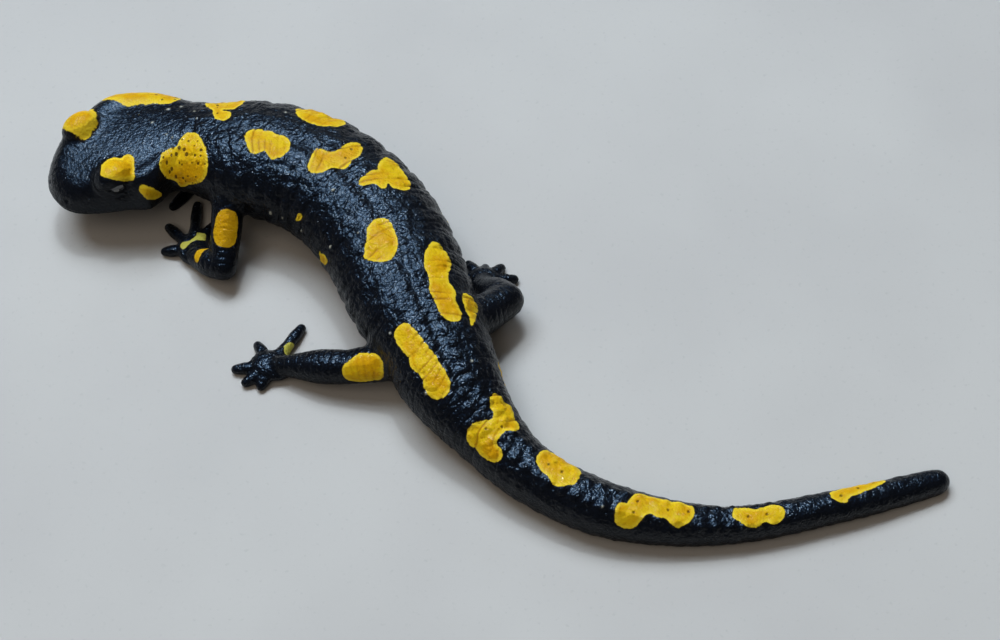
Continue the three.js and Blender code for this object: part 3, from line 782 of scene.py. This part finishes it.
outside = beyond_body(*located(points))
limb_outside, _ = limb_places(points)
from_lids = [norm(points - lid_centre(side), axis=1) for side in (1, -1)]
lid_outside = np.minimum(*from_lids) - LID_RADIUS
at_limb = near(outside, LIMB_JOIN) * near(limb_outside, LIMB_JOIN)
at_lid = near(outside, LID_JOIN) * near(lid_outside, LID_JOIN)
fineness = (SMOOTHING.voxel / VOXEL) ** 2
points = evened(points, edges, int(SMOOTHING.rounds * fineness) + 2, SMOOTHING.share)
at_joins = SMOOTHING.share * np.maximum(at_limb, SMOOTHING.lid_share * at_lid)
points = evened(points, edges, int(SMOOTHING.rounds_at_joins * fineness), at_joins)

# ---- fine form

s, x, z = located(points)
angle = np.arctan2(x, z)
turn = np.abs(angle)
width = section_at(s)[0]
full_width, full_top, _ = np.moveaxis(along(PROFILE, s), -1, 0)
round_from_back = angle * (full_width + full_top) / 2
limb_outside, limb_place = limb_places(points)
on_limb = smooth(*OUT_OF_BODY, beyond_body(s, x, z)) * (1 - smooth(*OFF_LIMB, limb_outside))
on_body = 1 - on_limb
on_head = 1 - smooth(HEAD_END - 4, HEAD_END + 3, s)
above_floor = points[:, 2]
flat_map = np.stack([s, round_from_back, np.zeros_like(s)], 1)
flat = flat_map[:, :2]
normals = normals_of(points, quads)
out = np.zeros(len(points))

# costal grooves and the folds between them
groove_step = GROOVES.step
number = np.clip(np.round((s - GROOVES.first) / groove_step), 0, GROOVES.count - 1)
from_groove = s + GROOVES.sway * noise(flat_map, 5.0, 3) - GROOVES.first - number * groove_step
uneven = 0.75 + 0.5 * noise(flat_map, 4.0, 5)
flank = within(turn, GROOVES.top, GROOVES.foot)
flank *= within(s, (GROOVES.first - groove_step, GROOVES.first), GROOVES.end) * on_body
out -= GROOVES.depth * uneven * bell(from_groove, GROOVES.half_width) * flank
out += GROOVES.bulge * bell(np.abs(from_groove) - groove_step / 2, GROOVES.bulge_half_width) * flank

# rings of the tail
tail = smooth(TRUNK_END, TRUNK_END + TAIL_RING.onset, s) * smooth(0, TAIL_RING.onset, LENGTH - s)
ring_phase = (s + TAIL_RING.sway * noise(flat_map, 3.0, 4)) / TAIL_RING.step
out += TAIL_RING.height * np.cos(TAU * ring_phase) * tail * on_body

# mouth, throat fold and the crease behind the head
from_mouth = z + along(MOUTH_DROP, s)[:, 0]
at_mouth = 1 - smooth(*MOUTH.ends, s)
at_mouth *= smooth(*MOUTH.core, np.hypot(x, z + MOUTH.core_depth))
out -= MOUTH.depth * bell(from_mouth, MOUTH.half_width) * at_mouth
out += LIP.height * bell(from_mouth - LIP.above, LIP.half_width) * at_mouth
throat = bell(s - THROAT_FOLD.at, THROAT_FOLD.half_width) * smooth(*THROAT_FOLD.side, turn)
out -= THROAT_FOLD.depth * throat * on_body
from_nape = s - NAPE_CREASE.at + NAPE_CREASE.slant * (1 - np.cos(np.minimum(turn, NAPE_CREASE.foot)))
nape = bell(from_nape, NAPE_CREASE.half_width) * (1 - smooth(*NAPE_CREASE.side, turn))
out -= NAPE_CREASE.depth * nape * on_body

# fine wrinkles across the body, slanting back down its sides, each with its own length
slant = WRINKLE.slant * np.minimum(np.abs(round_from_back), WRINKLE.slant_to)
sway = WRINKLE.long_sway * noise(flat_map, 6.0, 11)
sway += WRINKLE.short_sway * noise(flat_map, 2.2, 12)
number, from_wrinkle = nearest_line(s - slant + sway, WRINKLE.spacing)
own_map = np.stack([number * 3.7, round_from_back / WRINKLE.length, np.zeros_like(s)], 1)
crease = bell(from_wrinkle, WRINKLE.half_width) * smooth(-0.35, 0.25, noise(own_map, 1.0, 13))
crease *= within(s, WRINKLE.start, WRINKLE.end) * on_body
out -= WRINKLE.depth * crease

# wrinkles round the limbs
limb_sway = LIMB_WRINKLE.sway * noise(points, 2.0, 21)
_, from_limb_wrinkle = nearest_line(limb_place + limb_sway, LIMB_WRINKLE.spacing)
limb_crease = bell(from_limb_wrinkle, LIMB_WRINKLE.half_width) * smooth(-0.4, 0.4, noise(points, 1.7, 22))
limb_crease *= smooth(*LIMB_WRINKLE.above_floor, above_floor) * on_limb
out -= LIMB_WRINKLE.depth * limb_crease


def granules(kind, seed):
    """Heights of rounded granules scattered over the skin, in equal parts above and below it."""
    rim = np.minimum(from_scattered(points, kind.size, seed) / GRANULE_EDGE, 1)
    return kind.height / 2 * np.cos(math.pi * rim) * (1 - kind.less_on_head * on_head)


# low pebbles over the body, and smaller granules among them and on the limbs
out += granules(PEBBLE, 31) * on_body * (1 - PEBBLE.less_on_tail * smooth(*PEBBLE.tail, s))
small_on = (on_body + GRANULE.on_limbs * on_limb) * smooth(*GRANULE.above_floor, above_floor)
out += granules(GRANULE, 32) * small_on

# two rows of gland openings along the back
_, from_gland = nearest_line(s + GLAND_ROW.lead * np.sign(x), GLAND_ROW.step)
glands = bell(np.hypot(from_gland, np.abs(round_from_back) - GLAND_ROW.side), GLAND_ROW.half_width)
glands *= within(s, GLAND_ROW.start, GLAND_ROW.end) * on_body
out += (GLAND_ROW.height + GLAND_ROW.more_behind * smooth(*GLAND_ROW.behind, s)) * glands

# single large openings and raised whitish grains
opening = (1 - smooth(*OPENING.slope, to_nearest(flat, OPENINGS))) * on_body
grain = (1 - smooth(*GRAIN.slope, to_nearest(flat, GRAINS))) * on_body
out += GRAIN.height * grain - OPENING.depth * opening

out *= np.minimum(1, np.maximum(width, FULL_RELIEF * on_limb) / FULL_RELIEF)
points = points + normals * out[:, None]


def with_lid_opened(points, side):
    """The points with the lid's margin drawn in round the eye, and the skin between the lids sunk into it."""
    _, left, up, back = frames_at(EYE.at)
    eye = eye_centre(side)
    offset = points - eye
    radius = norm(offset, axis=1)
    along_lid = (offset @ back + LID_OPENING.ahead) / LID_OPENING.half_length
    above_slit = (offset @ up + LID_OPENING.down) / LID_OPENING.half_height
    almond = np.abs(above_slit) + along_lid ** 2
    facing = smooth(*LID_SLOPE.side, side * (offset @ left)) * (1 - smooth(*LID_SLOPE.reach, radius))
    edge = (1 - smooth(*LID_SLOPE.edge, almond)) * facing
    inside = (1 - smooth(*LID_SLOPE.inside, almond)) * facing
    margin = LID_EDGE.margin * bell(almond - LID_EDGE.margin_at, LID_EDGE.margin_half_width) * facing
    drawn = radius + (np.minimum(radius, LID_EDGE.radius) - radius) * edge + margin
    drawn += (LID_OPENING.sunk_to - drawn) * inside
    return eye + offset * (drawn / radius)[:, None]


def with_nostril(points, side):
    origin, left, up, _ = frames_at(NOSTRIL.at)
    centre = origin + left * side * NOSTRIL.side + up * NOSTRIL.above
    depth = NOSTRIL.depth * bell(norm(points - centre, axis=1), NOSTRIL.radius)
    return points - normals * depth[:, None]


for side in (1, -1):
    points = with_nostril(with_lid_opened(points, side), side)
points[:, 2] = np.maximum(points[:, 2], 0)

# ---- blotches: distances to their edges, negative inside

outlined = np.full(len(points), OUTLINE_REACH)
for corners in BLOTCH_OUTLINES:
    outlined = np.minimum(outlined, to_outline(flat, corners))
lobes = LOBES.height * noise(points, LOBES.size, 41)
rounds = blotch_distance(flat, BLOTCH_ROUNDS, 0.5) + lobes
limb_blotch = blotch_distance(points, LIMB_BLOTCHES, 0.4) + LOBES.on_limbs * lobes
limb_blotch += ELSEWHERE * smooth(*LIMB_BLOTCHES_TO, limb_outside)
pale_blotch = blotch_distance(points, PALE_BLOTCHES, 0.2)
body_blotch = np.minimum(outlined, rounds) + ELSEWHERE * on_limb
golden_blotch = np.minimum(body_blotch, limb_blotch)
blotch = np.minimum(golden_blotch, pale_blotch) + FRAYED * noise(points, 0.8, 42) + CREASED * crease
# where the arms' gold is warmer and darker: partly its own tone, partly painted shade
warm_and_shaded = (limb_blotch < body_blotch) * smooth(ARMS_WARM_AND_SHADED.start, ARMS_WARM_AND_SHADED.end, points[:, 0])
pored = plateau(s - PORED_AREA.at, PORED_AREA.half_length)
pored *= plateau(np.abs(round_from_back) - PORED_AREA.side, PORED_AREA.half_width) * on_body

mesh.vertices.foreach_set("co", ((points + SHIFT) * MM).astype(np.float32).ravel())


def give(name, values):
    mesh.attributes.new(name, "FLOAT", "POINT").data.foreach_set("value", values.astype(np.float32))


give("blotch", blotch)
# the creases, where the yellow gets painted shade
give("crease", np.clip(crease + 0.4 * limb_crease, 0, 1))
give("pale", (pale_blotch < golden_blotch).astype(float))
# the arms' warmer gold, partly painted shade
give("warm_and_shaded", warm_and_shaded * ARMS_WARM_AND_SHADED.share)
give("pored", pored)
give("opening", opening)
give("faces_up", WET.least + (1 - WET.least) * smooth(*WET.slope, normals_of(points, quads)[:, 2]))
give("grain", grain)
give("down_body", s)
give("round_body", round_from_back)
mesh.update()

skin = added("salamander_skin", mesh)
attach(skin, "root")
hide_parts(*[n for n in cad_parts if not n.startswith("eye_")])

# ---- materials

GOLD = (0.60, 0.305, 0.002, 1)
BRIGHT_GOLD = (0.67, 0.425, 0.006, 1)
MOTTLED_GOLD = (0.52, 0.225, 0.002, 1)
RIM_YELLOW = (0.76, 0.56, 0.03, 1)
# painted shade in the creases of the yellow, as darker orange
CREASE_SHADE_ORANGE = (0.34, 0.14, 0.003, 1)
# darker, warmer gold of the arms: partly their own tone, partly painted shade
WARM_SHADED_GOLD = (0.47, 0.225, 0.002, 1)
PALE_YELLOW = (0.43, 0.38, 0.06, 1)
PORE_BROWN = (0.06, 0.024, 0.004, 1)
BLACK = (0.0020, 0.0022, 0.0030, 1)
# bluer black for random patches: partly the skin's own tone, partly painted blue sheen
BLUE_SHEEN_BLACK = (0.0045, 0.0052, 0.0075, 1)
BROWN_CAST = (0.020, 0.010, 0.003, 1)
WHITISH = (0.36, 0.34, 0.27, 1)
NAVY_GLOSS = (0.26, 0.56, 1.0, 1)
EYE_BLACK = (0.0022, 0.0020, 0.0022, 1)
EYE_BROWN = (0.020, 0.011, 0.006, 1)
FLOOR_GREY = (0.45, 0.415, 0.38, 1)
FLOOR_PALE = (0.49, 0.455, 0.415, 1)
FLOOR_SPECK = (0.36, 0.33, 0.30, 1)

# Textures: sizes and depths in mm, strengths, and the ranges over which they set in.
EDGE = Sizes(size=0.5, waver=0.34, soft=0.06)
PORE = Sizes(spacing=1.45, scatter=0.72, least=0.11, most=0.24)  # radii as shares of the spacing
SKIN_GRAIN = Sizes(pits=0.42, grain=0.16, grain_share=0.35, pore_share=-1.6, depth=0.08)
FILM = Sizes(on_black=0.62, less_on_yellow=0.46, grain_share=0.25, depth=0.09, roughness=0.05, ior=1.36)
DROPS = Sizes(size=1.1, height=2.2, slope=(0.20, 0), patch=2.4, patch_edge=(0.46, 0.54))
PLATES = Sizes(size=0.85, slope=(0, 0.22), height=0.42)
BEADS = Sizes(size=0.5, slope=(0, 0.30), share=0.6, start=28, end=20)  # in place of the plates on the head


class Painter:
    """Adds nodes to a material and joins them. Sizes and depths of textures are in millimetres."""

    def __init__(self, name):
        self.material = bpy.data.materials.new(name)
        self.material.use_nodes = True
        self.tree = self.material.node_tree
        self.tree.nodes.clear()
        output = self.tree.nodes.new("ShaderNodeOutputMaterial")
        self.shader = self.tree.nodes.new("ShaderNodeBsdfPrincipled")
        self.put(self.shader.outputs["BSDF"], output.inputs["Surface"])
        self.place = self.node("ShaderNodeTexCoord").outputs["Object"]

    def put(self, value, socket):
        if isinstance(value, bpy.types.NodeSocket):
            self.tree.links.new(value, socket)
        else:
            socket.default_value = value

    def node(self, kind, settings=None, **inputs):
        node = self.tree.nodes.new(kind)
        for key, value in (settings or {}).items():
            setattr(node, key, value)
        for key, value in inputs.items():
            self.put(value, node.inputs[key.replace("_", " ")])
        return node

    def attribute(self, name):
        return self.node("ShaderNodeAttribute", {"attribute_name": name}).outputs["Fac"]

    def math(self, operation, a, b=0.0, c=0.0):
        node = self.node("ShaderNodeMath", {"operation": operation})
        for value, socket in zip((a, b, c), node.inputs):
            self.put(value, socket)
        return node.outputs[0]

    def times(self, a, b):
        return self.math("MULTIPLY", a, b)

    def scaled(self, value, share, plus):
        return self.math("MULTIPLY_ADD", value, share, plus)

    def between(self, value, low, high, to_low=0.0, to_high=1.0):
        """The value carried smoothly from the range low...high to the range to_low...to_high."""
        node = self.node("ShaderNodeMapRange", {"interpolation_type": "SMOOTHSTEP"})
        for number, socket in zip((value, low, high, to_low, to_high), node.inputs):
            self.put(number, socket)
        return node.outputs[0]

    def noise(self, size, detail):
        node = self.node("ShaderNodeTexNoise", Vector=self.place, Scale=1 / (size * MM), Detail=detail)
        return node.outputs["Fac"]

    def cells(self, size, feature="F1"):
        settings = {"feature": feature}
        node = self.node("ShaderNodeTexVoronoi", settings, Vector=self.place, Scale=1 / (size * MM))
        return node.outputs["Distance"]

    def bump(self, height, depth, strength=1.0):
        return self.node("ShaderNodeBump", Strength=strength, Distance=depth * MM, Height=height).outputs[0]

    def mix(self, share, a, b):
        node = self.node("ShaderNodeMix", {"data_type": "RGBA"})
        self.put(share, node.inputs[0])
        self.put(a, node.inputs[6])
        self.put(b, node.inputs[7])
        return node.outputs[2]

    def set(self, **inputs):
        for key, value in inputs.items():
            self.put(value, self.shader.inputs[key.replace("_", " ")])


def gland_pores(p):
    """1 in the openings of the skin glands, scattered over the pored area, and in the single large ones."""
    pored = p.attribute("pored")
    down, across = p.attribute("down_body"), p.attribute("round_body")
    spread = p.node("ShaderNodeCombineXYZ", X=down, Y=across).outputs[0]
    pores = p.node(
        "ShaderNodeTexVoronoi", {"voronoi_dimensions": "2D", "feature": "F1"},
        Vector=spread, Scale=1 / PORE.spacing, Randomness=PORE.scatter,
    )
    radius = p.times(pored, p.between(p.noise(1.8, 1.0), 0.4, 0.6, PORE.least, PORE.most))
    pore = p.between(p.math("SUBTRACT", pores.outputs["Distance"], radius), -0.05, 0.03, 1.0, 0.0)
    return p.math("MAXIMUM", p.times(pore, p.between(pored, 0.1, 0.4)), p.attribute("opening"))


def skin_material():
    p = Painter("wet_salamander_skin")
    waver = p.scaled(p.noise(EDGE.size, 3.0), EDGE.waver, -EDGE.waver / 2)
    edge = p.math("ADD", p.attribute("blotch"), waver)
    yellow = p.between(edge, -EDGE.soft, EDGE.soft, 1.0, 0.0)

    # yellow: golden, with a paler rim, painted shade in the creases as darker orange, warmer gold with
    # painted shade on the arms, and brown gland openings
    gold = p.mix(p.between(p.noise(3.5, 3.0), 0.35, 0.65), GOLD, BRIGHT_GOLD)
    gold = p.mix(p.between(p.noise(0.7, 4.0), 0.48, 0.72, 0.0, 0.6), gold, MOTTLED_GOLD)
    gold = p.mix(p.times(p.between(edge, -0.8, -0.12), 0.65), gold, RIM_YELLOW)
    # painted shade: the creases darkened to orange, more in some places than others
    shown = p.between(p.noise(6, 2.0), 0.36, 0.56, 0.25, 0.95)
    gold = p.mix(p.times(p.attribute("crease"), shown), gold, CREASE_SHADE_ORANGE)
    # the arms' gold made warmer and darker: partly their own tone, partly painted shade
    gold = p.mix(p.attribute("warm_and_shaded"), gold, WARM_SHADED_GOLD)
    gold = p.mix(p.attribute("pale"), gold, PALE_YELLOW)
    pore = gland_pores(p)
    gold = p.mix(p.times(pore, 0.85), gold, PORE_BROWN)

    # black: bluer in random patches, partly a painted blue sheen, with a brown cast beside the yellow, and a
    # few whitish grains
    black = p.mix(p.noise(2.5, 3.0), BLACK, BLUE_SHEEN_BLACK)
    black = p.mix(p.times(p.between(edge, 0.3, 0.03), 0.5), black, BROWN_CAST)
    black = p.mix(p.attribute("grain"), black, WHITISH)

    # a fine grain, deeper at the pores
    pit = p.cells(SKIN_GRAIN.pits)
    grain = p.noise(SKIN_GRAIN.grain, 3.0)
    relief = p.scaled(grain, SKIN_GRAIN.grain_share, p.times(p.times(pit, pit), -1.0))
    relief = p.scaled(pore, SKIN_GRAIN.pore_share, relief)

    # the film of water: thinner over the yellow and below, with drops; it follows plates and beads of skin
    film = p.times(p.scaled(yellow, -FILM.less_on_yellow, FILM.on_black), p.attribute("faces_up"))
    patch = p.between(p.noise(DROPS.patch, 1.0), *DROPS.patch_edge)
    drops = p.times(p.between(p.cells(DROPS.size), *DROPS.slope), patch)
    wet = p.scaled(relief, FILM.grain_share, p.scaled(drops, DROPS.height, p.noise(0.45, 2.5)))
    head = p.between(p.attribute("down_body"), BEADS.start, BEADS.end)
    plates = p.between(p.cells(PLATES.size, "DISTANCE_TO_EDGE"), *PLATES.slope)
    beads = p.between(p.cells(BEADS.size, "DISTANCE_TO_EDGE"), *BEADS.slope)
    plates = p.times(plates, p.math("SUBTRACT", 1.0, head))
    beads = p.times(beads, p.times(head, BEADS.share))
    wet = p.scaled(p.math("ADD", plates, beads), PLATES.height, wet)

    p.set(
        Base_Color=p.mix(yellow, black, gold), Normal=p.bump(relief, SKIN_GRAIN.depth),
        Roughness=p.scaled(yellow, 0.20, p.scaled(p.noise(1.2, 3.0), 0.20, 0.27)),
        Specular_IOR_Level=0.04, Specular_Tint=NAVY_GLOSS,
        Coat_Weight=film, Coat_Roughness=FILM.roughness, Coat_IOR=FILM.ior,
        Coat_Normal=p.bump(wet, FILM.depth),
    )
    return p.material


def eye_material():
    p = Painter("wet_black_eye")
    flecks = p.noise(0.35, 4.0)
    p.set(
        Base_Color=p.mix(p.between(flecks, 0.5, 0.8), EYE_BLACK, EYE_BROWN),
        Roughness=p.scaled(flecks, 0.04, 0.03), Normal=p.bump(p.noise(1.6, 2.0), 0.03, 0.15),
        Coat_Weight=1.0, Coat_Roughness=0.02,
    )
    return p.material


def floor_material():
    p = Painter("pale_floor")
    specks = p.noise(0.9, 4.0)
    colour = p.mix(p.between(p.noise(60, 4.0), 0.3, 0.7), FLOOR_GREY, FLOOR_PALE)
    colour = p.mix(p.between(specks, 0.6, 0.75, 0.0, 0.35), colour, FLOOR_SPECK)
    p.set(Base_Color=colour, Roughness=0.8, Normal=p.bump(specks, 0.06, 0.3))
    return p.material


def finished(mesh, material):
    mesh.materials.clear()
    mesh.materials.append(material)
    mesh.polygons.foreach_set("use_smooth", [True] * len(mesh.polygons))


finished(mesh, skin_material())
wet_eye = eye_material()
for name in ("eye_left", "eye_right"):
    finished(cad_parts[name].data, wet_eye)

# ---- floor, light and camera

FLOOR_HALF = 1.5
floor_mesh = bpy.data.meshes.new("floor")
corners = [(x * FLOOR_HALF, y * FLOOR_HALF, 0) for x, y in ((-1, -1), (1, -1), (1, 1), (-1, 1))]
floor_mesh.from_pydata(corners, [], [(0, 1, 2, 3)])
floor_mesh.materials.append(floor_material())
added("floor", floor_mesh)


def aimed(thing, place, target):
    obj = added(thing.name, thing)
    obj.location = place
    obj.rotation_euler = (Vector(target) - Vector(place)).to_track_quat("-Z", "Y").to_euler()
    return obj


# Soft boxes: name, azimuth from +Y towards +X, elevation, distance, size, power, colour, whether it lights
# matt surfaces and whether it shows in glossy ones. The sky's two, "sky" and "day", share one place.
LIGHTS = [
    ("sky", -33, 65, 0.95, (0.70, 0.42), 13.6, (0.39, 0.65, 1.0), False, True),
    ("day", -33, 65, 0.95, (0.70, 0.42), 11.8, (0.76, 0.88, 1.0), True, False),
    ("haze", -9, 70, 0.95, (0.06, 0.06), 2.0, (0.74, 0.87, 1.0), True, True),
    ("glint", -52, 62, 0.95, (0.04, 0.04), 0.8, (0.82, 0.92, 1.0), False, True),
    ("zenith", -3, 77, 0.95, (0.40, 0.22), 2.4, (0.42, 0.68, 1.0), False, True),
    ("low_sky", 12, 34, 1.0, (0.34, 0.20), 0.6, (0.58, 0.79, 1.0), True, True),
    ("fill", -150, 60, 1.1, (0.9, 0.7), 2.6, (1.0, 0.90, 0.78), True, False),
]
LIT_SPOT = (0, 0, 0.005)
WORLD_COLOUR = (0.92, 0.96, 1.0, 1)
WORLD_STRENGTH = 0.05

for name, azimuth, elevation, distance, size, power, colour, on_matt, on_glossy in LIGHTS:
    light = bpy.data.lights.new(name, "AREA")
    light.shape = "RECTANGLE"
    light.size, light.size_y = size
    light.energy = power
    light.color = colour
    a, e = math.radians(azimuth), math.radians(elevation)
    place = Vector((math.sin(a) * math.cos(e), math.cos(a) * math.cos(e), math.sin(e))) * distance
    box = aimed(light, place, LIT_SPOT)
    box.visible_diffuse = on_matt
    box.visible_glossy = on_glossy
world = bpy.data.worlds.new("studio")
world.use_nodes = True
background = world.node_tree.nodes["Background"]
background.inputs["Color"].default_value = WORLD_COLOUR
background.inputs["Strength"].default_value = WORLD_STRENGTH
bpy.context.scene.world = world
bpy.context.scene.view_settings.view_transform = "Standard"

CAMERA = Sizes(elevation=math.radians(57), distance=330, lens=71.28, sensor=36, clip_start=0.01)
camera_data = bpy.data.cameras.new("camera")
camera_data.lens = CAMERA.lens
camera_data.sensor_width = CAMERA.sensor
camera_data.clip_start = CAMERA.clip_start
middle = SHIFT * MM
away = np.array((0, -math.cos(CAMERA.elevation), math.sin(CAMERA.elevation)))
bpy.context.scene.camera = aimed(camera_data, middle + away * CAMERA.distance * MM, middle)
